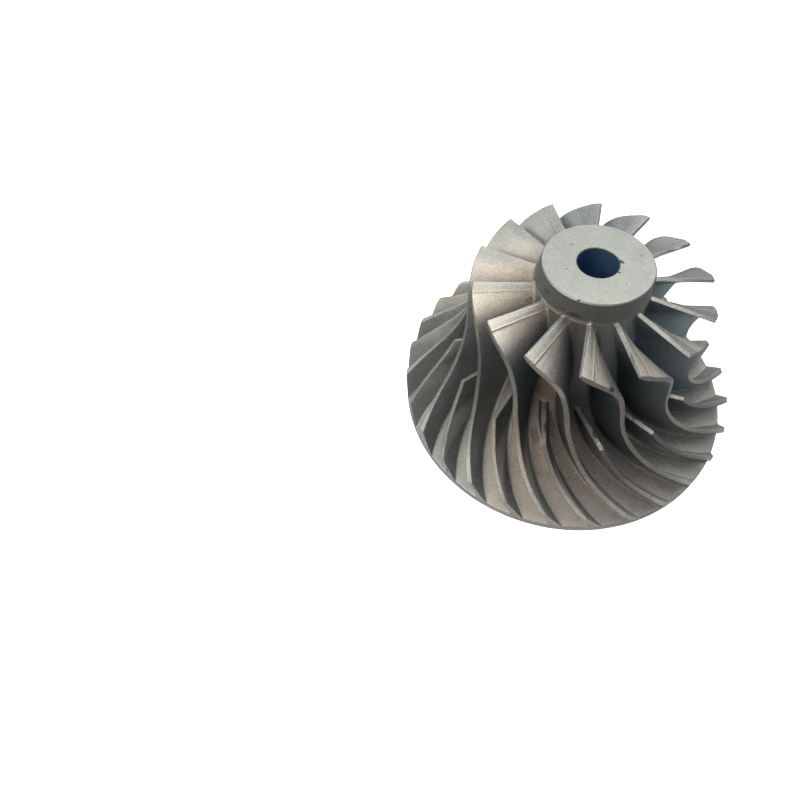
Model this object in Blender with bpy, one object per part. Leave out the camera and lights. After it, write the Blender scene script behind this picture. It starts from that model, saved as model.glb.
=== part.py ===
"""Bored radial wheel of a gas turbine: a hub with a nose and a thin disc, full blades and splitter blades."""
import math

import bmesh
import bpy
from mathutils import Vector

# Driving dimensions, in metres and degrees. +Z is the shaft's axis, and the back face lies on Z = 0.
RIM_RADIUS = 0.065
RIM_THICKNESS = 0.0035
OVERALL_HEIGHT = 0.0737
BORE_RADIUS = 0.0069
BORE_CHAMFER = 0.0005

# The nose stands above the blades and is turned flat on its end.
NOSE_RADIUS = 0.0187
NOSE_FOOT_RADIUS = 0.0193
NOSE_FOOT_HEIGHT = 0.0653
NOSE_CHAMFER = 0.0004

# The hub line is the floor of the passages, a Bezier curve from the nose's foot to the rim's upper edge.
HUB_PULL_AT_NOSE = (0.0187, 0.0222)
HUB_PULL_AT_RIM = (0.0392, 0.0125)

# The tip line is the free edge of the blades, a Bezier curve from the inlet's corner to the outlet's.
INLET_TIP_RADIUS = 0.0406
INLET_TIP_HEIGHT = 0.0649
OUTLET_TIP_HEIGHT = 0.0121
TIP_PULL_AT_INLET = (0.0447, 0.0553)
TIP_PULL_AT_OUTLET = (0.0319, 0.0230)

# Each blade's turn about the axis, in degrees, at fractions of the length of its line.
TIP_WRAP = ((0.0, 0.0), (0.1, 16.6), (0.25, 23.9), (0.5, 30.1), (0.75, 39.7), (1.0, 52.2))
ROOT_WRAP = ((0.0, 2.3), (0.1, 11.7), (0.25, 21.5), (0.45, 24.2), (0.7, 38.9), (1.0, 58.1))
FIRST_BLADE_AZIMUTH = -133.5

# Full blades run from the inlet to the rim, and a splitter blade starts partway between two of them.
BLADE_PAIRS = 14
SPLITTER_TIP_START_FRACTION = 0.599
SPLITTER_ROOT_START_FRACTION = 0.462

BLADE_TIP_THICKNESS = 0.0018
BLADE_ROOT_THICKNESS = 0.0024
ROOT_FILLET = 0.0010
ROOT_GAP = 0.0003

# Fineness of the faceted solid.
HUB_FACETS_PER_PAIR = 4
HUB_LINE_STEPS = 10
FULL_BLADE_STEPS = 14
SPLITTER_BLADE_STEPS = 8
LINE_SAMPLES = 240


def bezier(start, pull_start, pull_end, end, t):
    """Point at t, from 0 to 1, of a cubic Bezier curve of (radius, height) pairs."""
    u = 1 - t
    weights = (u ** 3, 3 * u * u * t, 3 * u * t * t, t ** 3)
    return Vector([sum(w * p[i] for w, p in zip(weights, (start, pull_start, pull_end, end))) for i in (0, 1)])


def hub_curve(t):
    rim_edge = (RIM_RADIUS, RIM_THICKNESS)
    return bezier((NOSE_FOOT_RADIUS, NOSE_FOOT_HEIGHT), HUB_PULL_AT_NOSE, HUB_PULL_AT_RIM, rim_edge, t)


def tip_curve(t):
    inlet = (INLET_TIP_RADIUS, INLET_TIP_HEIGHT)
    return bezier(inlet, TIP_PULL_AT_INLET, TIP_PULL_AT_OUTLET, (RIM_RADIUS, OUTLET_TIP_HEIGHT), t)


def sampled(curve):
    return [curve(i / LINE_SAMPLES) for i in range(LINE_SAMPLES + 1)]


def at_fraction(line, fraction):
    """Point of a sampled line at a fraction of its length."""
    steps = [(b - a).length for a, b in zip(line, line[1:])]
    wanted = fraction * sum(steps)
    for point, following, step in zip(line, line[1:], steps):
        if wanted <= step:
            return point.lerp(following, wanted / step)
        wanted -= step
    return line[-1]


def wrap_at(stations, fraction):
    """Turn about the axis at a fraction of a line, on a smooth cubic through the stations."""
    count = len(stations)
    slopes = []
    for i in range(count):
        before = stations[max(i - 1, 0)]
        after = stations[min(i + 1, count - 1)]
        slopes.append((after[1] - before[1]) / (after[0] - before[0]))
    for i in range(count - 1):
        (x0, y0), (x1, y1) = stations[i], stations[i + 1]
        if fraction <= x1 or i == count - 2:
            width = x1 - x0
            t = (fraction - x0) / width
            rise = y1 - y0
            lead = slopes[i] * width - rise
            trail = rise - slopes[i + 1] * width
            return y0 + t * rise + t * (1 - t) * (lead * (1 - t) + trail * t)


HUB_LINE = sampled(hub_curve)
TIP_LINE = sampled(tip_curve)
HUB_RINGS = [hub_curve(1 - i / HUB_LINE_STEPS) for i in range(HUB_LINE_STEPS + 1)]


def place(radius_height, degrees):
    angle = math.radians(degrees)
    return Vector((radius_height[0] * math.cos(angle), radius_height[0] * math.sin(angle), radius_height[1]))


def clear_of_hub(point):
    """Moves a point of a blade's foot to lie close above the faceted hub."""
    out = math.hypot(point.x, point.y)
    here = Vector((out, point.z))
    choices = []
    for low, high in zip(HUB_RINGS, HUB_RINGS[1:]):
        along = (high - low).normalized()
        reach = min(max((here - low).dot(along), 0), (high - low).length)
        seat = low + reach * along
        choices.append(((here - seat).length, seat + ROOT_GAP * Vector((along.y, -along.x))))
    foot = min(choices, key=lambda choice: choice[0])[1]
    return Vector((point.x * foot.x / out, point.y * foot.x / out, foot.y))


def blade_lines(steps, start_tip, start_root):
    """Root and tip points of a blade's middle surface, from its leading edge to the rim."""
    lines = []
    for i in range(steps + 1):
        along = i / steps
        tip_fraction = start_tip + (1 - start_tip) * along
        root_fraction = start_root + (1 - start_root) * along
        root = place(at_fraction(HUB_LINE, root_fraction), wrap_at(ROOT_WRAP, root_fraction))
        tip = place(at_fraction(TIP_LINE, tip_fraction), wrap_at(TIP_WRAP, tip_fraction))
        lines.append((root, tip))
    return lines


def blade_sections(lines):
    """Closed ring of points round the blade at each station: up its left side and down its right side."""
    last = len(lines) - 1
    rings = []
    for i, (root, tip) in enumerate(lines):
        before = lines[max(i - 1, 0)]
        after = lines[min(i + 1, last)]
        span = tip - root
        fillet_top = ROOT_FILLET / span.length
        levels = (0.0, fillet_top, 0.5, 1.0)
        middle_thickness = (BLADE_ROOT_THICKNESS + BLADE_TIP_THICKNESS) / 2
        foot_thickness = BLADE_ROOT_THICKNESS + 2 * ROOT_FILLET
        thicknesses = (foot_thickness, BLADE_ROOT_THICKNESS, middle_thickness, BLADE_TIP_THICKNESS)
        left, right = [], []
        for level, thickness in zip(levels, thicknesses):
            along = before[0].lerp(before[1], level) - after[0].lerp(after[1], level)
            side = span.cross(along).normalized() * thickness / 2
            left.append(root + level * span + side)
            right.append(root + level * span - side)
        left[0] = clear_of_hub(left[0])
        right[0] = clear_of_hub(right[0])
        rings.append(left + right[::-1])
    rings[-1] = [at_rim(point) for point in rings[-1]]
    return rings


def at_rim(point):
    """Brings a point of the trailing edge out or in to the rim's radius."""
    scale = RIM_RADIUS / math.hypot(point.x, point.y)
    return Vector((point.x * scale, point.y * scale, point.z))


def add_blade(name, sections, azimuth, material):
    """One closed blade, turned to its place round the hub."""
    mesh = bmesh.new()
    rings = [[mesh.verts.new(point) for point in section] for section in sections]
    for ring, following in zip(rings, rings[1:]):
        for i in range(len(ring)):
            j = (i + 1) % len(ring)
            mesh.faces.new((ring[i], ring[j], following[j], following[i]))
    for ring in (rings[0], rings[-1]):
        count = len(ring)
        for i in range(count // 2 - 1):
            mesh.faces.new((ring[i], ring[i + 1], ring[count - 2 - i], ring[count - 1 - i]))
    blade = new_object(name, mesh, material)
    blade.rotation_euler.z = math.radians(azimuth)
    return blade


def new_object(name, mesh, material):
    data = bpy.data.meshes.new(name)
    bmesh.ops.recalc_face_normals(mesh, faces=mesh.faces)
    mesh.to_mesh(data)
    mesh.free()
    data.materials.append(material)
    obj = bpy.data.objects.new(name, data)
    bpy.context.scene.collection.objects.link(obj)
    return obj


def hub_profile():
    """Outline of the turned body as (radius, height) pairs, from the bore's foot round to the nose."""
    points = [(BORE_RADIUS, BORE_CHAMFER), (BORE_RADIUS + BORE_CHAMFER, 0), (RIM_RADIUS, 0)]
    points += HUB_RINGS
    points += [(NOSE_RADIUS, OVERALL_HEIGHT - NOSE_CHAMFER), (NOSE_RADIUS - NOSE_CHAMFER, OVERALL_HEIGHT)]
    points += [(BORE_RADIUS + BORE_CHAMFER, OVERALL_HEIGHT), (BORE_RADIUS, OVERALL_HEIGHT - BORE_CHAMFER)]
    return points


def hub_mesh(mesh):
    """Turns the outline about the shaft's axis."""
    facets = BLADE_PAIRS * HUB_FACETS_PER_PAIR
    rings = []
    for point in hub_profile():
        rings.append([mesh.verts.new(place(point, 360 * i / facets)) for i in range(facets)])
    for ring, following in zip(rings, rings[1:] + rings[:1]):
        for i in range(facets):
            j = (i + 1) % facets
            mesh.faces.new((ring[i], ring[j], following[j], following[i]))


def cast_metal():
    material = bpy.data.materials.new("cast_nickel_alloy")
    material.use_nodes = True
    shader = material.node_tree.nodes["Principled BSDF"]
    shader.inputs["Base Color"].default_value = (0.42, 0.40, 0.37, 1)
    shader.inputs["Metallic"].default_value = 0.9
    shader.inputs["Roughness"].default_value = 0.5
    return material


for old in list(bpy.data.objects):
    bpy.data.objects.remove(old, do_unlink=True)

metal = cast_metal()
turned_body = bmesh.new()
hub_mesh(turned_body)
new_object("hub", turned_body, metal)

full_sections = blade_sections(blade_lines(FULL_BLADE_STEPS, 0, 0))
splitter_start = (SPLITTER_TIP_START_FRACTION, SPLITTER_ROOT_START_FRACTION)
splitter_lines = blade_lines(SPLITTER_BLADE_STEPS, *splitter_start)
splitter_sections = blade_sections(splitter_lines)
pitch = 360 / BLADE_PAIRS
for pair in range(BLADE_PAIRS):
    azimuth = FIRST_BLADE_AZIMUTH + pair * pitch
    add_blade(f"full_blade_{pair + 1:02d}", full_sections, azimuth, metal)
    add_blade(f"splitter_blade_{pair + 1:02d}", splitter_sections, azimuth + pitch / 2, metal)
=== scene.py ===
"""Looks of the gas turbine wheel: a cast hub with a turned nose, full blades and splitter blades."""
import math
import bmesh
import bpy
from mathutils import Matrix, Vector, noise


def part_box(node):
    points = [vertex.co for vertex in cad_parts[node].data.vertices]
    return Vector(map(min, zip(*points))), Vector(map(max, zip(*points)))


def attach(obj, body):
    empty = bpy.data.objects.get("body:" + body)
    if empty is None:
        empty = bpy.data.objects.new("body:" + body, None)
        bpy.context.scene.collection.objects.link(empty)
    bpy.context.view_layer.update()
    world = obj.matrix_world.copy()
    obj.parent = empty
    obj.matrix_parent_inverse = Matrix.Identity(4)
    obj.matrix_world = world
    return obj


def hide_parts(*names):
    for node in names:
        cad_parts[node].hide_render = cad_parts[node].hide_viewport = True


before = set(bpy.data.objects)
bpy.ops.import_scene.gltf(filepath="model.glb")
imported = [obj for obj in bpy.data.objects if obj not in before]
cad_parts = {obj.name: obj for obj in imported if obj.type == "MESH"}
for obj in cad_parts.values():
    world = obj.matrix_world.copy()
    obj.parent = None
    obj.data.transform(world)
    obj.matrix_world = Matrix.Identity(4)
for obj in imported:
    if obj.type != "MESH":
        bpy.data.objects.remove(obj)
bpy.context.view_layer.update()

# Hub casting. The real wheel is one investment casting in a nickel alloy, and this is its core: the thin
# disc, and the bell whose skin is the floor of the passages. It is left as cast and blasted with grit.
hub_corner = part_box("hub")[1]
RIM_RADIUS = hub_corner.x
RIM_THICKNESS = 0.0035
RIM_ROUND = 0.0003
LINED_BORE_RADIUS = 0.0077
NOSE_FOOT_RADIUS = 0.0193
NOSE_FOOT_HEIGHT = 0.0653
BACK_SKIN = 0.0003
HUB_LINE = [
    (NOSE_FOOT_RADIUS, NOSE_FOOT_HEIGHT),
    (0.0187, 0.0222),
    (0.0392, 0.0125),
    (RIM_RADIUS, RIM_THICKNESS),
]
HUB_LINE_STEPS = 84
RIM_SUPPORTS = [0.992, 0.996]
MOULD_LINE = 0.455
MOULD_LINE_HALF_WIDTH = 0.005
MOULD_LINE_RISE = 0.00012
HUB_FACETS = 448
LINE_SAMPLES = 400
SLOPE_STEP = 0.002


def bezier(pulls, t):
    """Point at t on the smooth curve that a few (radius, height) points pull into shape."""
    points = [Vector(p) for p in pulls]
    while len(points) > 1:
        points = [a.lerp(b, t) for a, b in zip(points, points[1:])]
    return points[0]


def sampled(pulls):
    return [bezier(pulls, i / LINE_SAMPLES) for i in range(LINE_SAMPLES + 1)]


def at_fraction(line, fraction):
    """Point at a fraction of a sampled line's length."""
    steps = [(b - a).length for a, b in zip(line, line[1:])]
    wanted = fraction * sum(steps)
    for point, following, step in zip(line, line[1:], steps):
        if wanted <= step:
            return point.lerp(following, wanted / step)
        wanted -= step
    return line[-1]


def turned(name, outline, facets):
    """Turns a closed outline of (radius, height) points about the shaft. Its outer side runs upwards."""
    count = len(outline)
    verts = []
    for radius, height in outline:
        for i in range(facets):
            angle = math.tau * i / facets
            verts.append((radius * math.cos(angle), radius * math.sin(angle), height))
    faces = []
    for ring in range(count):
        after = (ring + 1) % count
        for i in range(facets):
            j = (i + 1) % facets
            faces.append((ring * facets + i, ring * facets + j, after * facets + j, after * facets + i))
    mesh = bpy.data.meshes.new(name)
    mesh.from_pydata(verts, [], faces)
    mesh.shade_smooth()
    piece = bpy.data.objects.new(name, mesh)
    bpy.context.scene.collection.objects.link(piece)
    return piece


def roughen(piece, amount, size, seed):
    """Moves each point in or out along its normal by smooth noise, as an uneven cast skin."""
    shift = Vector((seed, seed * 0.37, -seed))
    mesh = piece.data
    moves = [noise.noise(v.co / size + shift) * amount * v.normal for v in mesh.vertices]
    for vertex, move in zip(mesh.vertices, moves):
        vertex.co += move
    mesh.update()


def add_node(tree, kind, x, y, values=None, **settings):
    """Adds a node at (x, y) with its settings, and with plain values on some of its sockets."""
    node = tree.nodes.new(kind)
    node.location = (x, y)
    for key, setting in settings.items():
        setattr(node, key, setting)
    for socket, value in (values or {}).items():
        node.inputs[socket].default_value = value
    return node


def feed(tree, value, socket):
    """Links another node's output to a socket, or sets the socket to a plain value."""
    if isinstance(value, bpy.types.NodeSocket):
        tree.links.new(value, socket)
    else:
        socket.default_value = value


def object_place(tree, x, y):
    """Place on the piece, in metres from the middle of the wheel's back."""
    return add_node(tree, "ShaderNodeTexCoord", x, y).outputs["Object"]


def noise_on_object(tree, scale, x, y, detail=3):
    """Noise in the piece's own coordinates, with about `scale` blotches to the metre."""
    spread = add_node(tree, "ShaderNodeTexNoise", x, y, {"Scale": scale, "Detail": detail})
    tree.links.new(object_place(tree, x - 200, y), spread.inputs["Vector"])
    return spread.outputs["Fac"]


def climb(tree, value, low, high, x, y):
    """0 where a value is at low, rising evenly to 1 where it is at high."""
    node = add_node(tree, "ShaderNodeMapRange", x, y, {"From Min": low, "From Max": high})
    tree.links.new(value, node.inputs["Value"])
    return node.outputs["Result"]


def reckon(tree, operation, first, second, x, y):
    """Result of a sum on two numbers, each of them linked or plain."""
    node = add_node(tree, "ShaderNodeMath", x, y, operation=operation)
    feed(tree, first, node.inputs[0])
    feed(tree, second, node.inputs[1])
    return node.outputs[0]


def ramp(tree, value, stops, x, y):
    """Colour ramp with (position, colour) stops."""
    node = add_node(tree, "ShaderNodeValToRGB", x, y)
    tree.links.new(value, node.inputs["Fac"])
    node.color_ramp.elements[0].position = stops[0][0]
    node.color_ramp.elements[0].color = stops[0][1]
    node.color_ramp.elements[1].position = stops[-1][0]
    node.color_ramp.elements[1].color = stops[-1][1]
    for position, colour in stops[1:-1]:
        node.color_ramp.elements.new(position).color = colour
    return node.outputs["Color"]


def mix_colour(tree, how, amount, first, second, x, y):
    node = add_node(tree, "ShaderNodeMix", x, y, data_type="RGBA", blend_type=how)
    feed(tree, amount, node.inputs[0])
    feed(tree, first, node.inputs[6])
    feed(tree, second, node.inputs[7])
    return node.outputs[2]


def bumps(tree, height, strength, rise, under, x, y):
    """Surface direction over low bumps, laid on the bumps of another such node where one is given."""
    node = add_node(tree, "ShaderNodeBump", x, y, {"Strength": strength, "Distance": rise})
    tree.links.new(height, node.inputs["Height"])
    if under:
        tree.links.new(under, node.inputs["Normal"])
    return node.outputs["Normal"]


SPOT_CORE = 0.4


def spots(tree, places, x, y, squash=1):
    """1 inside small marks, given as (x, y, z, radius), and 0 outside them, with a soft edge between.

    squash flattens the marks in height."""
    flattened = add_node(tree, "ShaderNodeVectorMath", x - 600, y, {1: (1, 1, squash)}, operation="MULTIPLY")
    tree.links.new(object_place(tree, x - 800, y), flattened.inputs[0])
    marked = 0.0
    for i, (px, py, pz, radius) in enumerate(places):
        row = y - 200 * i
        middle = (px, py, pz * squash)
        gap = add_node(tree, "ShaderNodeVectorMath", x - 400, row, {1: middle}, operation="DISTANCE")
        tree.links.new(flattened.outputs["Vector"], gap.inputs[0])
        near = climb(tree, gap.outputs["Value"], radius, radius * SPOT_CORE, x - 200, row)
        marked = reckon(tree, "MAXIMUM", marked, near, x, row)
    return marked


def darken(material, marks, shade):
    """Mixes a darker shade into the finished colour of a material where the marks are."""
    tree = material.node_tree
    socket = tree.nodes["Principled BSDF"].inputs["Base Color"]
    plain = socket.links[0].from_socket
    tree.links.new(mix_colour(tree, "MULTIPLY", marks, plain, shade, 0, 600), socket)


def between(stops, value):
    """Value on straight lines through (position, value) stops."""
    for (x0, y0), (x1, y1) in zip(stops, stops[1:]):
        if value <= x1:
            return y0 + (y1 - y0) * max(value - x0, 0) / (x1 - x0)
    return stops[-1][1]


def radius_of(point):
    return math.hypot(point.x, point.y)


def azimuth_of(point):
    return math.degrees(math.atan2(point.y, point.x))


def mark_corners(piece, name, value):
    """Keeps a number at each corner of a piece, worked out from the corner's face and place.

    One mark is how pale the skin is: near 0 in closed places and 1 on open edges, partly from how well the
    grit got there and partly painted light and shade. The other is the tint of the skin, -1 for straw and 1
    for blue: partly oxide and partly a painted tint of the light."""
    mesh = piece.data
    mark = mesh.attributes.new(name, "FLOAT", "CORNER")
    for face in mesh.polygons:
        for corner in face.loop_indices:
            mark.data[corner].value = value(face.index, mesh.vertices[mesh.loops[corner].vertex_index].co)


def new_material(name, values):
    """A material whose shader has the given plain values, with its node tree and its shader."""
    material = bpy.data.materials.new(name)
    material.use_nodes = True
    shader = material.node_tree.nodes["Principled BSDF"]
    for socket, value in values.items():
        shader.inputs[socket].default_value = value
    return material, material.node_tree, shader


METALLIC = 0.95
CAST_SMOOTHEST = 0.53
CAST_ROUGHEST = 0.70
CAST_CLOUDS = 90
CAST_LUMPS = 600
LUMP_STRENGTH = 0.5
LUMP_RISE = 0.0002
CAST_GRAINS = 2100
GRAIN_STRENGTH = 0.55
GRAIN_RISE = 0.00012
CLOSED_LOW_HEIGHT = 0.03
CLOSED_HIGH_HEIGHT = 0.05
WHITE = (1, 1, 1, 1)
GREY = (0.5, 0.5, 0.5, 1)
# Straw, plain and blue: the tint of oxide, and also a painted tint of the warm and the cool light.
OXIDE_AND_LIGHT_TINTS = [(0, (1, 0.91, 0.84, 1)), (0.5, WHITE), (1, (0.72, 0.87, 1, 1))]
SPECKLE_BY_BLASTING = [(0.0, 0.2), (0.3, 0.4), (0.62, 0.85), (0.78, 0.5), (1.0, 0.5)]


def blasted_casting(name, pale, dark, closed_low, closed_high):
    """Cast alloy: pale and speckled where the grit got to it, darker and smoother in closed places.

    The darkness of the closed places is partly painted shade. They have one shade near the disc and another
    near the nose."""
    material, tree, shader = new_material(name, {"Metallic": METALLIC})
    # The paleness mark is partly how well the grit got there, partly painted light and shade.
    reach_and_light = add_node(tree, "ShaderNodeAttribute", -1100, 600, attribute_name="grit_and_painted_light").outputs["Fac"]
    tint = add_node(tree, "ShaderNodeAttribute", -1100, 1200, attribute_name="oxide_and_light_tint").outputs["Fac"]
    clouds = ramp(tree, noise_on_object(tree, CAST_CLOUDS, -900, 300), [(0.3, dark), (0.7, pale)], -650, 300)
    height = add_node(tree, "ShaderNodeSeparateXYZ", -1100, 900)
    tree.links.new(object_place(tree, -1300, 900), height.inputs[0])
    high = climb(tree, height.outputs["Z"], CLOSED_LOW_HEIGHT, CLOSED_HIGH_HEIGHT, -900, 900)
    closed = mix_colour(tree, "MIX", high, closed_low, closed_high, -650, 900)
    skin = mix_colour(tree, "MIX", reach_and_light, closed, clouds, -350, 450)
    skin.node.clamp_factor = False
    tints = ramp(tree, climb(tree, tint, -1, 1, -900, 1200), OXIDE_AND_LIGHT_TINTS, -650, 1200)
    skin = mix_colour(tree, "MULTIPLY", 1.0, skin, tints, -250, 450)
    grain = noise_on_object(tree, CAST_GRAINS, -900, 0)
    speckle = ramp(tree, grain, [(0.38, GREY), (0.60, WHITE)], -650, 0)
    shares = [(reach, (share, share, share, 1)) for reach, share in SPECKLE_BY_BLASTING]
    speckled = ramp(tree, reach_and_light, shares, -650, 650)
    colour = mix_colour(tree, "MULTIPLY", speckled, skin, speckle, -150, 300)
    tree.links.new(colour, shader.inputs["Base Color"])
    ends = {"To Min": CAST_SMOOTHEST, "To Max": CAST_ROUGHEST}
    gloss = add_node(tree, "ShaderNodeMapRange", -350, -50, ends)
    tree.links.new(grain, gloss.inputs["Value"])
    tree.links.new(gloss.outputs["Result"], shader.inputs["Roughness"])
    fine = bumps(tree, grain, GRAIN_STRENGTH, GRAIN_RISE, None, -350, -300)
    lumps = noise_on_object(tree, CAST_LUMPS, -900, -400, detail=2)
    coarse = bumps(tree, lumps, LUMP_STRENGTH, LUMP_RISE, fine, -150, -300)
    tree.links.new(coarse, shader.inputs["Normal"])
    return material


def dress(piece, material, nodes):
    """Gives a finished piece its material, its body and the solids that it stands for."""
    piece.data.materials.clear()
    piece.data.materials.append(material)
    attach(piece, "root")
    if nodes:
        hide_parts(*nodes)


hub_floor = sampled(HUB_LINE)
hub_outline = [
    (LINED_BORE_RADIUS, BACK_SKIN),
    (RIM_RADIUS * 0.5, BACK_SKIN),
    (RIM_RADIUS - RIM_ROUND, BACK_SKIN),
    (RIM_RADIUS - RIM_ROUND * 0.3, BACK_SKIN + RIM_ROUND * 0.3),
    (RIM_RADIUS, BACK_SKIN + RIM_ROUND),
    (RIM_RADIUS, RIM_THICKNESS - RIM_ROUND),
    (RIM_RADIUS - RIM_ROUND * 0.3, RIM_THICKNESS - RIM_ROUND * 0.3),
]
below_floor = len(hub_outline) * HUB_FACETS
floor_stations = [(i / HUB_LINE_STEPS, 0) for i in range(HUB_LINE_STEPS)]
floor_stations += [(fraction, 0) for fraction in RIM_SUPPORTS]
floor_stations += [(MOULD_LINE - MOULD_LINE_HALF_WIDTH, 0), (MOULD_LINE + MOULD_LINE_HALF_WIDTH, 0)]
floor_stations += [(MOULD_LINE, MOULD_LINE_RISE)]
for fraction, lift in sorted(floor_stations, reverse=True):
    spot = at_fraction(hub_floor, fraction)
    inner = at_fraction(hub_floor, max(fraction - SLOPE_STEP, 0))
    run = at_fraction(hub_floor, min(fraction + SLOPE_STEP, 1)) - inner
    hub_outline.append(tuple(spot + Vector((-run.y, run.x)).normalized() * lift))
hub_outline.append((LINED_BORE_RADIUS, NOSE_FOOT_HEIGHT))
hub_casting = turned("hub_casting", hub_outline, HUB_FACETS)
RIM_BLASTING = 0.78
# Floor paleness by radius: partly how well the grit got there, partly painted shade deep in the passages.
FLOOR_GRIT_AND_SHADE = [(0.019, 0.30), (0.023, 0.20), (0.026, 0.03), (0.030, 0.17), (0.034, 0.35), (0.038, 0.44)]
FLOOR_GRIT_AND_SHADE += [(0.044, 0.47), (0.049, 0.58), (0.055, 0.76), (0.064, 0.84)]
# Painted light and shade: the floor is made paler or darker by azimuth round the wheel.
FLOOR_SHARES = [(-180, 0.78), (-152, 0.96), (-138, 0.84), (-125, 0.90), (-112, 1.02), (-105, 1.1)]
FLOOR_SHARES += [(-75, 1.1), (-50, 0.95), (-20, 0.95), (180, 0.78)]
# Painted light and shade on the floor round the nose's foot, by azimuth.
FOOT_SHARES = [(-180, 1.0), (-144, 1.4), (-118, 1.0), (-93, 0.6), (-67, 1.2), (-41, 2.0), (-15, 1.3)]
FOOT_SHARES += [(20, 1.0)]
FOOT_INNER_RADIUS = 0.020
FOOT_OUTER_RADIUS = 0.0235
# Tint by azimuth, partly oxide and partly a painted tint of the light round the wheel.
FLOOR_OXIDE_AND_LIGHT = [(-180, 1.0), (-155, 0.6), (-127, 0.25), (-108, -0.1), (-92, -0.55), (-75, -0.3), (-62, -0.05)]
FLOOR_OXIDE_AND_LIGHT += [(-45, 0.35), (15, 0.4), (60, 0.1), (150, 0.2), (180, 1.0)]
RIM_OXIDE_AND_LIGHT = [(-140, 0.0), (-115, 0.4), (-90, 0.45), (-65, 0.1), (-40, 0.0), (180, 0.0)]
NEAR_RIM = [(0.054, 0.0), (0.062, 1.0)]


def hub_grit_and_light(face, point):
    """The open rim is pale, and the floor darker towards the depth of the passages, partly as painted shade.

    The floor is also painted lighter or darker round the wheel and round the nose's foot, as painted light
    and shade.
    """
    if face < below_floor:
        return RIM_BLASTING
    radius, azimuth = radius_of(point), azimuth_of(point)
    foot_stops = [(FOOT_INNER_RADIUS, between(FOOT_SHARES, azimuth)), (FOOT_OUTER_RADIUS, 1.0)]
    return between(FLOOR_GRIT_AND_SHADE, radius) * between(FLOOR_SHARES, azimuth) * between(foot_stops, radius)


def hub_oxide_and_light(face, point):
    """The tint is partly oxide and partly a painted tint of the light, and changes round the wheel. The
    straw fades near the rim.
    """
    azimuth = azimuth_of(point)
    return between(FLOOR_OXIDE_AND_LIGHT, azimuth) + between(RIM_OXIDE_AND_LIGHT, azimuth) * between(NEAR_RIM, radius_of(point))


mark_corners(hub_casting, "grit_and_painted_light", hub_grit_and_light)
mark_corners(hub_casting, "oxide_and_light_tint", hub_oxide_and_light)
roughen(hub_casting, amount=0.00004, size=0.004, seed=3.1)
HUB_PALE = (0.73, 0.675, 0.615, 1)
HUB_DARK = (0.63, 0.585, 0.535, 1)
HUB_CLOSED_LOW = (0.155, 0.145, 0.132, 1)
HUB_CLOSED_HIGH = (0.130, 0.134, 0.138, 1)
cast_hub_metal = blasted_casting("cast_hub_metal", HUB_PALE, HUB_DARK, HUB_CLOSED_LOW, HUB_CLOSED_HIGH)
RIBS_PLACE = (-0.0020, -0.0368, 0.0172, 0.0044)
RIBS_ACROSS = (0.331, -0.740, -0.585)
RIBS_PITCH = 0.0006
RIBS_SHADE = (0.3, 0.28, 0.26, 1)
WAVE_TURN = 20
tree = cast_hub_metal.node_tree
across = add_node(tree, "ShaderNodeVectorMath", -900, 1000, {1: RIBS_ACROSS}, operation="DOT_PRODUCT")
tree.links.new(object_place(tree, -1100, 1000), across.inputs[0])
along_ribs = add_node(tree, "ShaderNodeCombineXYZ", -700, 1000)
tree.links.new(across.outputs["Value"], along_ribs.inputs["X"])
ribs_size = {"Scale": math.tau / (WAVE_TURN * RIBS_PITCH), "Distortion": 0.0}
ribs = add_node(tree, "ShaderNodeTexWave", -500, 1000, ribs_size, wave_type="BANDS", bands_direction="X")
tree.links.new(along_ribs.outputs["Vector"], ribs.inputs["Vector"])
ribbed = reckon(tree, "MULTIPLY", ribs.outputs["Fac"], spots(tree, [RIBS_PLACE], -500, 1300), -300, 1000)
darken(cast_hub_metal, ribbed, RIBS_SHADE)
dress(hub_casting, cast_hub_metal, ["hub"])

# Nose. It is cast in one with the hub, in the same alloy. Its side keeps a dark skin above the blades, and a
# low seam runs round its foot, where the wax pattern of the nose met that of the bladed part.
OVERALL_HEIGHT = hub_corner.z
END_SKIN = 0.0006
CAST_TOP = OVERALL_HEIGHT - END_SKIN
NOSE_RADIUS = 0.0187
SEAT_GAP = 0.00001
NOSE_SIDE_STEPS = 16
NOSE_SKIN_ROUND = 0.00015
SEAM_HEIGHT = 0.00016
SEAM_HALF_WIDTH = 0.0004
nose_corner = Vector((NOSE_RADIUS, CAST_TOP))
nose_side = [nose_corner.lerp(hub_floor[0], i / NOSE_SIDE_STEPS) for i in range(NOSE_SIDE_STEPS)]
hub_skin = nose_side + hub_floor
nose_outline = [
    (LINED_BORE_RADIUS, NOSE_FOOT_HEIGHT + SEAT_GAP),
    (NOSE_FOOT_RADIUS, NOSE_FOOT_HEIGHT + SEAT_GAP),
    (NOSE_FOOT_RADIUS + SEAM_HEIGHT, NOSE_FOOT_HEIGHT + SEAM_HALF_WIDTH * 0.6),
    (NOSE_FOOT_RADIUS + SEAM_HEIGHT * 0.8, NOSE_FOOT_HEIGHT + SEAM_HALF_WIDTH * 1.2),
    (NOSE_FOOT_RADIUS - 0.00002, NOSE_FOOT_HEIGHT + SEAM_HALF_WIDTH * 2),
]
nose_outline += [tuple(point) for point in nose_side[NOSE_SIDE_STEPS - 2:0:-1]]
nose_outline += [
    (NOSE_RADIUS, CAST_TOP - NOSE_SKIN_ROUND),
    (NOSE_RADIUS - NOSE_SKIN_ROUND, CAST_TOP),
    (LINED_BORE_RADIUS, CAST_TOP),
]
nose_collar = turned("nose_collar", nose_outline, HUB_FACETS)
SEAM_TOP = NOSE_FOOT_HEIGHT + SEAM_HALF_WIDTH * 1.3
# Nose paleness by height: the seam paler, partly as a painted highlight, and darker just under the nose end.
NOSE_GRIT_AND_LIGHT = [(SEAM_TOP, 0.5), (SEAM_TOP + 0.0001, 0.2)]
NOSE_GRIT_AND_LIGHT += [(CAST_TOP - 0.0004, 0.2), (CAST_TOP - 0.0002, 0.0)]
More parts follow.
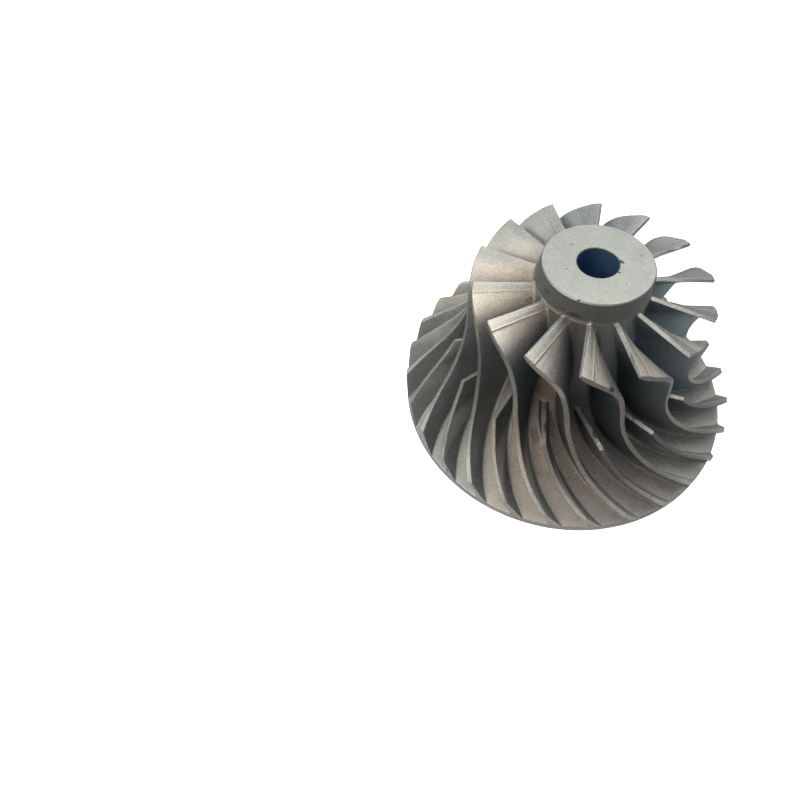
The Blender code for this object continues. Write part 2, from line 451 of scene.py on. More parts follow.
# Painted light: the right of the nose is made paler than the left.
NOSE_LIFT = [(-180, 0.0), (-110, -0.03), (-70, -0.03), (-35, 0.14), (0, 0.18), (60, 0.0)]


def nose_grit_and_light(face, point):
    """The seam is paler than the side above it, partly as a painted highlight, and the right of the nose is
    painted lighter than the left, as painted light.
    """
    return between(NOSE_GRIT_AND_LIGHT, point.z) + between(NOSE_LIFT, azimuth_of(point))


mark_corners(nose_collar, "grit_and_painted_light", nose_grit_and_light)
roughen(nose_collar, amount=0.00008, size=0.0035, seed=5.3)
SKIN_PALE = (0.64, 0.63, 0.61, 1)
SKIN_DARK = (0.52, 0.51, 0.50, 1)
SKIN_CLOSED = (0.125, 0.125, 0.12, 1)
STAINS = [(-0.0018, -0.0190, 0.0675, 0.0032), (-0.0056, -0.0182, 0.0680, 0.0014)]
STAINS += [(-0.0127, -0.0141, 0.0696, 0.0021)]
STAIN_FLATNESS = 3
STAIN_SHADE = (0.64, 0.61, 0.60, 1)
dark_skin = blasted_casting("dark_cast_skin", SKIN_PALE, SKIN_DARK, SKIN_CLOSED, SKIN_CLOSED)
darken(dark_skin, spots(dark_skin.node_tree, STAINS, -300, 1200, STAIN_FLATNESS), STAIN_SHADE)
dress(nose_collar, dark_skin, [])

# Turned faces. After casting, the end of the nose and the back of the disc are faced flat in a lathe, and
# the bore is drilled and reamed through both. The bare alloy is lighter and finer than the cast skin.
BORE_RADIUS = 0.0069
NOSE_END_RADIUS = NOSE_RADIUS - 0.0001
NOSE_CHAMFER = 0.0004
BORE_CHAMFER = 0.00025
FACE_FACETS = 288
BORE_FACETS = 128
TURNED_CORNER = math.radians(30)
end_outline = [
    (NOSE_END_RADIUS, CAST_TOP + SEAT_GAP),
    (NOSE_END_RADIUS, OVERALL_HEIGHT - NOSE_CHAMFER),
    (NOSE_END_RADIUS - NOSE_CHAMFER, OVERALL_HEIGHT),
    (NOSE_RADIUS * 0.75, OVERALL_HEIGHT),
    (BORE_RADIUS * 1.3, OVERALL_HEIGHT),
    (BORE_RADIUS + BORE_CHAMFER, OVERALL_HEIGHT),
    (BORE_RADIUS, OVERALL_HEIGHT - BORE_CHAMFER),
    (BORE_RADIUS, CAST_TOP + SEAT_GAP),
]
back_outline = [
    (BORE_RADIUS, BACK_SKIN - SEAT_GAP),
    (BORE_RADIUS, BORE_CHAMFER),
    (BORE_RADIUS + BORE_CHAMFER, 0),
    (RIM_RADIUS * 0.3, 0),
    (RIM_RADIUS * 0.65, 0),
    (RIM_RADIUS - RIM_ROUND * 2, 0),
    (RIM_RADIUS - RIM_ROUND, BACK_SKIN - SEAT_GAP),
]
wall_outline = [
    (BORE_RADIUS, BACK_SKIN),
    (LINED_BORE_RADIUS - SEAT_GAP, BACK_SKIN),
    (LINED_BORE_RADIUS - SEAT_GAP, CAST_TOP),
    (BORE_RADIUS, CAST_TOP),
]
nose_end = turned("nose_end", end_outline, FACE_FACETS)
back_face = turned("back_face", back_outline, FACE_FACETS)
bore_wall = turned("bore_wall", wall_outline, BORE_FACETS)
for piece in (nose_end, back_face, bore_wall):
    piece.data.set_sharp_from_angle(angle=TURNED_CORNER)
TURNED_ROUGHNESS = 0.55
TURNED_CLOUDS = 150
TURNED_GRAINS = 2300
TURNED_GRAIN_STRENGTH = 0.35
TURNED_GRAIN_RISE = 0.00006
TURNED_RINGS = 900
RING_WANDER = 1.5
RING_STRENGTH = 0.12
RING_RISE = 0.00003
CLOUD_GREY = (0.86, 0.87, 0.86, 1)


def faced_metal(name, pale, dark):
    """Metal faced in a lathe: faint rings about the axis under clouds and a fine grain."""
    material, tree, shader = new_material(name, {"Metallic": METALLIC, "Roughness": TURNED_ROUGHNESS})
    grain = noise_on_object(tree, TURNED_GRAINS, -900, 0)
    speckle = ramp(tree, grain, [(0.35, dark), (0.65, pale)], -650, 0)
    clouds = noise_on_object(tree, TURNED_CLOUDS, -900, 300)
    clouds = ramp(tree, clouds, [(0.3, CLOUD_GREY), (0.7, WHITE)], -650, 300)
    colour = mix_colour(tree, "MULTIPLY", 1.0, speckle, clouds, -350, 200)
    tree.links.new(colour, shader.inputs["Base Color"])
    size = {"Scale": TURNED_RINGS, "Distortion": RING_WANDER}
    rings = add_node(tree, "ShaderNodeTexWave", -900, -500, size, wave_type="RINGS", rings_direction="Z")
    tree.links.new(object_place(tree, -1300, -500), rings.inputs["Vector"])
    cut = bumps(tree, rings.outputs["Fac"], RING_STRENGTH, RING_RISE, None, -350, -500)
    fine = bumps(tree, grain, TURNED_GRAIN_STRENGTH, TURNED_GRAIN_RISE, cut, -150, -300)
    tree.links.new(fine, shader.inputs["Normal"])
    return material


TURNED_PALE = (0.378, 0.364, 0.353, 1)
TURNED_DARK = (0.292, 0.288, 0.286, 1)
# The bore wall is painted dark blue, as painted shade inside the bore.
BORE_PALE = (0.18, 0.33, 0.55, 1)
BORE_DARK = (0.13, 0.26, 0.44, 1)
turned_metal = faced_metal("turned_metal", TURNED_PALE, TURNED_DARK)
bore_shade_paint = faced_metal("bore_painted_shade", BORE_PALE, BORE_DARK)
PITS = [(-0.0099, 0.0053, OVERALL_HEIGHT, 0.0007), (0.0123, 0.0080, OVERALL_HEIGHT, 0.0007)]
PITS += [(-0.0090, -0.0063, OVERALL_HEIGHT, 0.0006), (0.0103, -0.0061, OVERALL_HEIGHT, 0.0005)]
PIT_SHADE = (0.60, 0.61, 0.61, 1)
END_NICKS = [(0.0067, 0.0030, OVERALL_HEIGHT, 0.0009), (0.0074, 0.0027, OVERALL_HEIGHT, 0.0007)]
END_NICKS += [(0.0072, -0.0021, OVERALL_HEIGHT, 0.0006), (-0.0020, -0.0184, OVERALL_HEIGHT, 0.0007)]
END_NICK_SHADE = (0.16, 0.17, 0.18, 1)
darken(turned_metal, spots(turned_metal.node_tree, PITS, -300, 1200), PIT_SHADE)
darken(turned_metal, spots(turned_metal.node_tree, END_NICKS, -300, 2200), END_NICK_SHADE)
dress(nose_end, turned_metal, [])
dress(back_face, turned_metal, [])
dress(bore_wall, bore_shade_paint, [])

# Full blades. They are cast in one with the hub, in the same alloy, and swept back at the rim. Behind the
# blunt front edge, a thickened band ends in a raised lip where two halves of the wax mould met, and the tip
# edge is turned flat.
BLADE_PAIRS = 14
FIRST_BLADE_AZIMUTH = math.radians(-133.5)
TIP_LINE = [(0.0406, 0.0649), (0.0447, 0.0553), (0.0319, 0.0230), (RIM_RADIUS, 0.0121)]
TIP_WRAP = [(0.0, 0.0), (0.1, 16.6), (0.25, 23.9), (0.5, 30.1), (0.75, 39.7), (1.0, 52.2)]
ROOT_WRAP = [(0.0, 2.3), (0.1, 11.7), (0.25, 21.5), (0.45, 24.2), (0.7, 38.9), (1.0, 58.1)]
TIP_THICKNESS = 0.0018
ROOT_THICKNESS = 0.0023
ROOT_FILLET = 0.0012
LARGEST_FILLET_SHARE = 0.3
ROOT_SINK = 0.0003
FOOT_SINK = 0.00002
EDGE_ROUND = 0.00018
UNDER_TIP_CORNER = 0.00018
UPPER_TIP_CORNER = 0.00030
FRONT_EDGE_SHARE = 0.68
UNDER_EDGE_LENGTH = 0.0025
SPLITTER_EDGE_SHARE = 0.93
SPLITTER_EDGE_LENGTH = 0.002
BAND_END = 0.029
BAND_RISE = 0.00024
BAND_DROP = 0.09
BAND_SETTLE = 0.25
BAND_SETTLE_LENGTH = 0.8
CREASE_PLACE = 0.48
CREASE_HALF_WIDTH = 0.07
CREASE_RISE = 0.00002
LIP_PLACE = 0.965
LIP_HALF_WIDTH = 0.06
LIP_RISE = 0.00010
RIM_TURN_START = 0.84
RUN_STEP = 0.004
SIDE_ROWS = 13
FILLET_ROWS = 6
TIP_CORNER_STEPS = 4
FRONT_FILLET_STEPS = 3
MERGE_DISTANCE = 0.000002

tip_line = sampled(TIP_LINE)


def wrap_at(stations, fraction):
    """Turn about the axis, in radians, on a smooth cubic through (fraction, degrees) stations."""
    last = len(stations) - 1
    slopes = []
    for i in range(last + 1):
        before, after = stations[max(i - 1, 0)], stations[min(i + 1, last)]
        slopes.append((after[1] - before[1]) / (after[0] - before[0]))
    here = max(i for i in range(last) if fraction >= stations[i][0])
    (x0, y0), (x1, y1) = stations[here], stations[here + 1]
    width, rise = x1 - x0, y1 - y0
    t = (fraction - x0) / width
    lead = slopes[here] * width - rise
    trail = rise - slopes[here + 1] * width
    return math.radians(y0 + t * rise + t * (1 - t) * (lead * (1 - t) + trail * t))


def place(radius_height, angle):
    return Vector((radius_height[0] * math.cos(angle), radius_height[0] * math.sin(angle), radius_height[1]))


def smooth_step(t):
    t = min(max(t, 0), 1)
    return t * t * (3 - 2 * t)


def hill(t, centre, half_width):
    """A smooth bump of height 1 at centre."""
    return 1 - smooth_step(abs(t - centre) / half_width)


def on_skin(point):
    """The hub's outward normal beside a point, and how far the point stands off the hub's skin."""
    here = Vector((radius_of(point), point.z))
    nearest = min(range(1, len(hub_skin) - 1), key=lambda i: (hub_skin[i] - here).length_squared)
    along = (hub_skin[nearest + 1] - hub_skin[nearest - 1]).normalized()
    outward = Vector((-along.y, along.x))
    seat = hub_skin[nearest] + along * (here - hub_skin[nearest]).dot(along)
    flat = Vector((point.x, point.y, 0)).normalized()
    return flat * outward.x + Vector((0, 0, outward.y)), (here - seat).dot(outward)


def seated(point, sink):
    """Brings a point straight onto the hub's skin, or a little under it."""
    normal, lift = on_skin(point)
    return point - normal * (lift + sink)


class BladeShape:
    """The middle surface of one blade from its front edge to the rim, and how thick it is there.

    banded is 1 for the raised band as cast, less for a band that is fettled down, and 0 for none."""

    def __init__(self, start_tip, start_root, banded):
        self.start_tip = start_tip
        self.start_root = start_root
        self.banded = banded
        (root, tip), (root_on, tip_on) = self.middle(0), self.middle(SLOPE_STEP)
        self.root_rate = (root_on - root).length / SLOPE_STEP
        self.tip_rate = (tip_on - tip).length / SLOPE_STEP

    def middle(self, along):
        tip_fraction = self.start_tip + (1 - self.start_tip) * along
        root_fraction = self.start_root + (1 - self.start_root) * along
        root = place(at_fraction(hub_floor, root_fraction), wrap_at(ROOT_WRAP, root_fraction))
        tip = place(at_fraction(tip_line, tip_fraction), wrap_at(TIP_WRAP, tip_fraction))
        return root, tip

    def runs(self, along):
        """Directions of the root and of the tip edge towards the rim."""
        before, after = self.middle(max(along - RUN_STEP, 0)), self.middle(min(along + RUN_STEP, 1))
        return (after[0] - before[0]).normalized(), (after[1] - before[1]).normalized()

    def half(self, along, level, upper):
        """Half the blade's thickness on its upper or under side."""
        half = (ROOT_THICKNESS * (1 - level) + TIP_THICKNESS * level) / 2
        behind_edge = along * (self.root_rate * (1 - level) + self.tip_rate * level)
        blunt = max(EDGE_ROUND - behind_edge, 0)
        inset = EDGE_ROUND - math.sqrt(EDGE_ROUND ** 2 - blunt ** 2)
        if not self.banded:
            grown = min(behind_edge / SPLITTER_EDGE_LENGTH, 1)
            return half * (SPLITTER_EDGE_SHARE + (1 - SPLITTER_EDGE_SHARE) * grown) - inset
        if not upper:
            grown = smooth_step(behind_edge / UNDER_EDGE_LENGTH)
            return half * (FRONT_EDGE_SHARE + (1 - FRONT_EDGE_SHARE) * grown) - inset
        band = along / BAND_END
        front = half * FRONT_EDGE_SHARE
        rise = BAND_RISE * self.banded
        crease = CREASE_RISE * hill(band, CREASE_PLACE, CREASE_HALF_WIDTH)
        lip = LIP_RISE * hill(band, LIP_PLACE, LIP_HALF_WIDTH)
        thick = front + (half + rise - front) * math.sin(min(band, 1) * math.pi / 2)
        thick += (crease + lip) * self.banded
        drop = smooth_step((band - 1) / BAND_DROP)
        settle = BAND_SETTLE * rise * math.exp(-max(band - 1, 0) / BAND_SETTLE_LENGTH)
        return thick * (1 - drop) + (half + settle) * drop - inset


def blade_ring(shape, along, front_turn):
    """Points round one section: up the upper side, over the tip edge and down the under side.

    front_turn swings the root fillet from the blade's side, at 0, to straight ahead, at a quarter turn."""
    root, tip = shape.middle(along)
    root_run, tip_run = shape.runs(along)
    span = tip - root
    height = span.length
    rise = span / height
    normal = on_skin(root)[0]
    to_rim = smooth_step((along - RIM_TURN_START) / (1 - RIM_TURN_START))
    sides = []
    for upper in (True, False):
        sign = 1 if upper else -1

        def outward(level):
            side = sign * rise.cross(root_run.lerp(tip_run, level)).normalized()
            middle = root + span * level
            round_axis = Vector((-middle.y, middle.x, 0)).normalized()
            round_axis /= round_axis.dot(side)
            return side.lerp(round_axis, to_rim)

        corner = root + outward(0) * shape.half(along, 0, upper)
        away = outward(0) * math.cos(front_turn) - root_run * math.sin(front_turn)
        away = (away - normal * away.dot(normal)).normalized()
        angle = math.acos(max(min(away.dot(rise), 1), -1))
        reach = min(ROOT_FILLET / math.tan(angle / 2), LARGEST_FILLET_SHARE * height)
        foot = seated(corner + away * reach, FOOT_SINK)
        corner = seated(corner, 0)
        points = [seated(foot, ROOT_SINK)]
        top_of_fillet = corner + rise * reach
        for i in range(FILLET_ROWS + 1):
            t = i / FILLET_ROWS
            points.append(foot.lerp(corner, t).lerp(corner.lerp(top_of_fillet, t), t))
        start = reach / height
        corner_round = UPPER_TIP_CORNER if upper else UNDER_TIP_CORNER
        side_end = 1 - corner_round / height
        for i in range(1, SIDE_ROWS + 1):
            level = start + (side_end - start) * i / SIDE_ROWS
            points.append(root + span * level + outward(level) * shape.half(along, level, upper))
        half = shape.half(along, 1, upper)
        for i in range(1, TIP_CORNER_STEPS + 1):
            turn = math.pi / 2 * i / TIP_CORNER_STEPS
            inset = corner_round * (1 - math.cos(turn))
            below = corner_round * (1 - math.sin(turn))
            points.append(tip - rise * below + outward(1) * (half - inset))
        sides.append(points)
    return sides[0] + sides[1][::-1]


def at_rim(point):
    """Brings a point of the trailing edge to the rim's radius."""
    scale = RIM_RADIUS / radius_of(point)
    return Vector((point.x * scale, point.y * scale, point.z))


RIM_END_RADIUS = RIM_RADIUS * 0.998
RIM_END_BLASTING = 1.0
FRONT_END_BLASTING = 0.7
EDGE_BLASTING = [(0.057, 0.56), (0.060, 0.38)]
# Painted shade, partly grit: upper faces darker lower down and inwards from the rim, under sides dark.
HIGH_GRIT_AND_SHADE = [(0.040, 0.20), (0.055, 0.22), (0.059, 0.58), (0.062, 0.80), (0.065, 0.84)]
OUTER_GRIT_AND_SHADE = [(0.043, 0.24), (0.048, 0.46), (0.054, 0.60), (0.061, 0.62), (0.065, 0.75)]
UNDER_GRIT_AND_SHADE = [(0.040, 0.24), (0.052, 0.32)]


def blade_grit_and_light(spot, count, point):
    """How pale a blade is: partly how well the grit got there, partly painted light and shade.

    spot is a face's place round its section, or None on an end.
    """
    radius = radius_of(point)
    side = count // 2
    if spot is None:
        return RIM_END_BLASTING if radius > RIM_END_RADIUS else FRONT_END_BLASTING
    if abs(spot - side + 1) <= TIP_CORNER_STEPS:
        edge = between(EDGE_BLASTING, point.z)
        # Painted shade: the under side of the tip edge turns dark towards the rim, for the crevice there.
        return edge if spot < side else between([(0.044, edge), (0.050, 0.0)], radius)
    skin = between(UNDER_GRIT_AND_SHADE, point.z)
    if spot < side:
        skin = max(between(HIGH_GRIT_AND_SHADE, point.z), between(OUTER_GRIT_AND_SHADE, radius))
    row = min(spot, count - 1 - spot)
    return skin + (between(FLOOR_GRIT_AND_SHADE, radius) - skin) * between([(1, 1.0), (FILLET_ROWS, 0.0)], row)


def blade_rings(shape, stations):
    """Sections of one blade at azimuth 0, from its front fillet through the given stations to the rim."""
    turns = [math.pi / 2 * (1 - i / FRONT_FILLET_STEPS) for i in range(FRONT_FILLET_STEPS)]
    rings = [blade_ring(shape, 0, turn) for turn in turns]
    rings += [blade_ring(shape, s, 0) for s in stations]
    rings[-1] = [at_rim(point) for point in rings[-1]]
    return rings


END, UPPER, UNDER, TIP_EDGE = range(4)


def blade(name, rings, fettled_rings):
    """One closed blade through its rings. It keeps each point's move for when the band is fettled down."""
    count = len(rings[0])
    verts = [point for ring in rings for point in ring]
    faces = []
    for r in range(len(rings) - 1):
        for i in range(count):
            j = (i + 1) % count
            faces.append((r * count + i, r * count + j, (r + 1) * count + j, (r + 1) * count + i))
    for r, flip in ((0, False), (len(rings) - 1, True)):
        for i in range(count // 2 - 1):
            face = [r * count + k for k in (i, count - 1 - i, count - 2 - i, i + 1)]
            faces.append(tuple(reversed(face)) if flip else tuple(face))
    mesh = bpy.data.meshes.new(name)
    mesh.from_pydata(verts, [], faces)
    piece = bpy.data.objects.new(name, mesh)
    bpy.context.scene.collection.objects.link(piece)
    mesh.shade_smooth()
    strips = (len(rings) - 1) * count
    for face in mesh.polygons[strips:]:
        face.use_smooth = False

    def reach_and_light(face, point):
        return blade_grit_and_light(face % count if face < strips else None, count, point)

    mark_corners(piece, "grit_and_painted_light", reach_and_light)
    cut = mesh.attributes.new("cut", "FLOAT_VECTOR", "POINT")
    fettled = [point for ring in fettled_rings for point in ring]
    for i in range(len(verts)):
        cut.data[i].vector = fettled[i] - verts[i]
    side = mesh.attributes.new("side", "INT", "FACE")
    for face in mesh.polygons[:strips]:
        spot = face.index % count
        on_tip = abs(spot - count // 2 + 1) <= TIP_CORNER_STEPS
        side.data[face.index].value = TIP_EDGE if on_tip else UPPER if spot < count // 2 else UNDER
    shell = bmesh.new()
    shell.from_mesh(mesh)
    bmesh.ops.remove_doubles(shell, verts=shell.verts, dist=MERGE_DISTANCE)
    shell.to_mesh(mesh)
    shell.free()
    return piece


def blade_row_tree(name, material):
    """Geometry nodes that set copies of one blade evenly about the axis."""
    tree = bpy.data.node_groups.new(name, "GeometryNodeTree")
    tree.interface.new_socket("Blade", in_out="INPUT", socket_type="NodeSocketGeometry")
    count = tree.interface.new_socket("Blades", in_out="INPUT", socket_type="NodeSocketInt")
    first = tree.interface.new_socket("First azimuth", in_out="INPUT", socket_type="NodeSocketFloat")
    tree.interface.new_socket("Row", in_out="OUTPUT", socket_type="NodeSocketGeometry")
    entry = add_node(tree, "NodeGroupInput", -900, 0)
    leave = add_node(tree, "NodeGroupOutput", 700, 0)
    seats = add_node(tree, "GeometryNodeMeshLine", -600, 100, {"Offset": (0, 0, 0)}, mode="OFFSET")
    index = add_node(tree, "GeometryNodeInputIndex", -900, -250)
    pitch = reckon(tree, "DIVIDE", math.tau, entry.outputs["Blades"], -700, -400)
    turn = reckon(tree, "MULTIPLY", index.outputs["Index"], pitch, -500, -250)
    azimuth = reckon(tree, "ADD", turn, entry.outputs["First azimuth"], -300, -250)
    about_axis = add_node(tree, "ShaderNodeCombineXYZ", -100, -250)
    copies = add_node(tree, "GeometryNodeInstanceOnPoints", 100, 0)
    real = add_node(tree, "GeometryNodeRealizeInstances", 300, 0)
    finish = add_node(tree, "GeometryNodeSetMaterial", 500, 0, {"Material": material})
    link = tree.links.new
    link(entry.outputs["Blades"], seats.inputs["Count"])
    link(azimuth, about_axis.inputs["Z"])
    link(seats.outputs["Mesh"], copies.inputs["Points"])
    link(entry.outputs["Blade"], copies.inputs["Instance"])
    link(about_axis.outputs[0], copies.inputs["Rotation"])
    link(copies.outputs["Instances"], real.inputs["Geometry"])
    link(real.outputs["Geometry"], finish.inputs["Geometry"])
    link(finish.outputs["Geometry"], leave.inputs["Row"])
    return tree, count.identifier, first.identifier


def row_of(piece, name, material, azimuth):
    """Repeats a blade round the hub and returns the row as one plain mesh."""
    tree, count_input, azimuth_input = blade_row_tree(name + "_row", material)
    nodes = piece.modifiers.new("row", "NODES")
    nodes.node_group = tree
    nodes[count_input] = BLADE_PAIRS
    nodes[azimuth_input] = azimuth
    bpy.context.view_layer.update()
    evaluated = piece.evaluated_get(bpy.context.evaluated_depsgraph_get())
    mesh = bpy.data.meshes.new_from_object(evaluated)
    mesh.name = name
    piece.modifiers.remove(nodes)
    bpy.data.objects.remove(piece)
    row = bpy.data.objects.new(name, mesh)
    bpy.context.scene.collection.objects.link(row)
    return row


def fettle(row, shares):
    """Takes the raised band of each blade of a row down by the blade's share."""
    mesh = row.data
    cut = mesh.attributes["cut"]
    to_each_blade = len(mesh.vertices) // BLADE_PAIRS
    for vertex in mesh.vertices:
        number = vertex.index // to_each_blade
        turn = Matrix.Rotation(FIRST_BLADE_AZIMUTH + math.tau * number / BLADE_PAIRS, 3, "Z")
        vertex.co += turn @ cut.data[vertex.index].vector * shares[number]
    mesh.update()


EVEN = [1] * BLADE_PAIRS
PLAIN = [0] * BLADE_PAIRS
CLOSED_PALENESS = 0.34


def paint_light_by_blade(row, upper, under, tip, upper_tint, under_tint, tip_tint):
    """Paints light and shade on each blade of a row, paler or darker than its neighbours as the light falls
    round the wheel, and paints on a tint that is partly oxide and partly the tint of the light.

    upper is a list of (height, shares): the upper side's paleness at that height is multiplied by the share
    of each blade. under and tip do so for the under side and the tip edge. Tints are given likewise."""
    mesh = row.data
    grit_and_painted_light = mesh.attributes["grit_and_painted_light"]
    side = mesh.attributes["side"]
    oxide_and_light_tint = mesh.attributes.new("oxide_and_light_tint", "FLOAT", "CORNER")
    shares = {END: [(0, EVEN)], UPPER: upper, UNDER: under, TIP_EDGE: tip}
    tints = {END: [(0, PLAIN)], UPPER: upper_tint, UNDER: under_tint, TIP_EDGE: tip_tint}
    to_each_blade = len(mesh.polygons) // BLADE_PAIRS
    for face in mesh.polygons:
        number = face.index // to_each_blade
        part = side.data[face.index].value
        share_stops = [(height, by_blade[number]) for height, by_blade in shares[part]]
        tint_stops = [(height, by_blade[number]) for height, by_blade in tints[part]]
        for corner in face.loop_indices:
            height = mesh.vertices[mesh.loops[corner].vertex_index].co.z
            paleness = (grit_and_painted_light.data[corner].value + CLOSED_PALENESS) * between(share_stops, height)
            grit_and_painted_light.data[corner].value = paleness - CLOSED_PALENESS
            oxide_and_light_tint.data[corner].value = between(tint_stops, height)


BLADE_PALE = (0.69, 0.65, 0.61, 1)
BLADE_DARK = (0.60, 0.565, 0.535, 1)
BLADE_CLOSED_LOW = (0.130, 0.142, 0.150, 1)
BLADE_CLOSED_HIGH = (0.125, 0.152, 0.185, 1)
BLADE_SHADES = [BLADE_PALE, BLADE_DARK, BLADE_CLOSED_LOW, BLADE_CLOSED_HIGH]
cast_blade_metal = blasted_casting("cast_blade_metal", *BLADE_SHADES)
STREAKS_PLACE = (0.006, -0.030, 0.0625, 0.026)
STREAKS_LONG = 70
STREAKS_HIGH = 2600
STREAKS_START = 0.52
STREAKS_FULL = 0.66
STREAKS_SHADE = (0.80, 0.80, 0.81, 1)
tree = cast_blade_metal.node_tree
stretch = {"Scale": (STREAKS_LONG, STREAKS_LONG, STREAKS_HIGH)}
level = add_node(tree, "ShaderNodeMapping", -900, 1800, stretch)
tree.links.new(object_place(tree, -1100, 1800), level.inputs["Vector"])
drawn = add_node(tree, "ShaderNodeTexNoise", -700, 1800, {"Scale": 1})
tree.links.new(level.outputs["Vector"], drawn.inputs["Vector"])
streaks = climb(tree, drawn.outputs["Fac"], STREAKS_START, STREAKS_FULL, -500, 1800)
drawn_here = reckon(tree, "MULTIPLY", streaks, spots(tree, [STREAKS_PLACE], -500, 2600), -300, 1800)
darken(cast_blade_metal, drawn_here, STREAKS_SHADE)
NICKS = [(0.0160, -0.0378, 0.0604, 0.0013), (-0.0293, -0.0580, 0.0065, 0.0010)]
NICK_SHADE = (0.25, 0.25, 0.25, 1)
BLEMISHES = [(-0.0177, -0.0111, 0.0609, 0.0010), (-0.0186, -0.0120, 0.0606, 0.0007)]
BLEMISH_SHADE = (0.6, 0.55, 0.52, 1)
darken(cast_blade_metal, spots(tree, NICKS, -300, 1400), NICK_SHADE)
darken(cast_blade_metal, spots(tree, BLEMISHES, -300, 2000), BLEMISH_SHADE)
EDGE_STEPS = [0.00002, 0.00006, 0.00011, 0.00018]
BAND_STEPS = [0.1, 0.2, 0.3, 0.41, 0.48, 0.55, 0.68, 0.8, 0.9, 0.965, 1.0, 1.025, 1.05, 1.15, 1.3]
FULL_BLADE_STEPS = 104
FETTLED_BAND = 0.08
FULL_BLADE_CORNER = math.radians(32)


def stations_to_rim(shape, band_stations, count):
    """Stations close together round the front edge and over the band, then evenly on to the rim."""
    stations = [0] + [step / shape.tip_rate for step in EDGE_STEPS] + band_stations
    last = stations[-1]
    return stations + [last + (1 - last) * i / count for i in range(1, count + 1)]


full_shape = BladeShape(0, 0, 1)
fettled_shape = BladeShape(0, 0, FETTLED_BAND)
full_stations = stations_to_rim(full_shape, [BAND_END * step for step in BAND_STEPS], FULL_BLADE_STEPS)
fettled_rings = blade_rings(fettled_shape, full_stations)
one_full_blade = blade("one_full_blade", blade_rings(full_shape, full_stations), fettled_rings)
full_blades = row_of(one_full_blade, "full_blades", cast_blade_metal, FIRST_BLADE_AZIMUTH)
# Each list in capitals from here on has one value for each blade, in turn round the wheel.
FETTLED = [0, 0, 0, 0, 0, 0, 0, 0, 0.3, 0.6, 0.6, 1.0, 1.0, 0.72]
fettle(full_blades, FETTLED)
full_blades.data.set_sharp_from_angle(angle=FULL_BLADE_CORNER)
roughen(full_blades, amount=0.00006, size=0.005, seed=7.7)
# Painted light and shade: each blade's share of paleness, by where it stands round the wheel under the
# lamps.
RIM_SHARES = [0.95, 1.1, 1.3, 1.05, 1.2, 1.0, 1.0, 1.0, 1.0, 1.0, 1.0, 1.0, 0.85, 1.0]
DISC_SHARES = [1.6, 1.35, 1.25, 0.95, 1.05, 1.0, 1.0, 1.0, 1.0, 1.1, 1.05, 1.05, 1.15, 1.25]
WALL_SHARES = [0.68, 0.60, 0.54, 1.5, 1.2, 1.1, 1.2, 1.3, 1.3, 1.2, 1.1, 1.05, 1.6, 1.18]
FACE_SHARES = [0.98, 0.68, 0.71, 0.97, 0.93, 0.88, 1.0, 1.2, 1.02, 1.25, 1.2, 1.2, 1.48, 1.17]
BAND_SHARES = [1.22, 1.0, 1.08, 1.15, 1.05, 0.88, 0.80, 0.97, 0.84, 0.83, 0.94, 1.0, 1.25, 1.40]
EDGE_SHARES = [1.42, 1.18, 1.23, 1.18, 1.12, 0.81, 0.73, 0.89, 0.92, 0.86, 1.02, 0.99, 1.11, 1.48]
FRONT_SHARES = [1.10, 0.92, 0.93, 0.87, 0.70, 0.56, 0.66, 0.81, 1.0, 0.83, 0.94, 0.90, 0.97, 1.08]
upper_shares = [(0.010, RIM_SHARES), (0.014, DISC_SHARES), (0.017, DISC_SHARES), (0.022, WALL_SHARES)]
upper_shares += [(0.048, WALL_SHARES), (0.059, FACE_SHARES), (0.0625, BAND_SHARES)]
upper_shares += [(0.0635, EDGE_SHARES), (0.0645, FRONT_SHARES)]
# Painted light and shade on the under sides, blade by blade.
UNDER_LOW_SHARES = [1.0, 1.0, 1.1, 1.25, 1.3, 1.5, 1.5, 1.4, 1.2, 1.2, 1.2, 1.2, 1.2, 1.2]
UNDER_SHARES = [1.0, 0.62, 0.5, 1.0, 1.9, 2.7, 2.25, 1.6, 1.2, 1.2, 1.2, 1.2, 1.4, 1.4]
UNDER_TOP_SHARES = [2.3, 1.0, 1.15, 1.55, 1.0, 1.15, 2.3, 1.4, 1.2, 1.2, 1.2, 2.5, 3.0, 2.4]
under_shares = [(0.012, UNDER_LOW_SHARES), (0.020, UNDER_SHARES), (0.048, UNDER_SHARES)]
under_shares += [(0.058, UNDER_TOP_SHARES)]
# Painted light and shade on the tip edges, blade by blade.
TIP_SHARES = [1.05, 0.98, 1.03, 1.13, 1.15, 1.0, 1.0, 1.0, 1.0, 1.1, 1.1, 1.0, 0.85, 0.62]
TIP_RIM_SHARES = [1.05, 0.97, 0.93, 1.0, 1.02, 1.0, 1.0, 1.0, 1.0, 1.32, 1.18, 1.26, 1.27, 1.24]
TIP_TOP_SHARES = [0.83, 1.32, 1.03, 1.14, 1.22, 1.0, 1.0, 1.0, 1.0, 1.0, 1.0, 1.0, 1.0, 1.0]
tip_shares = [(0.014, TIP_RIM_SHARES), (0.022, TIP_SHARES), (0.050, TIP_SHARES), (0.056, TIP_TOP_SHARES)]
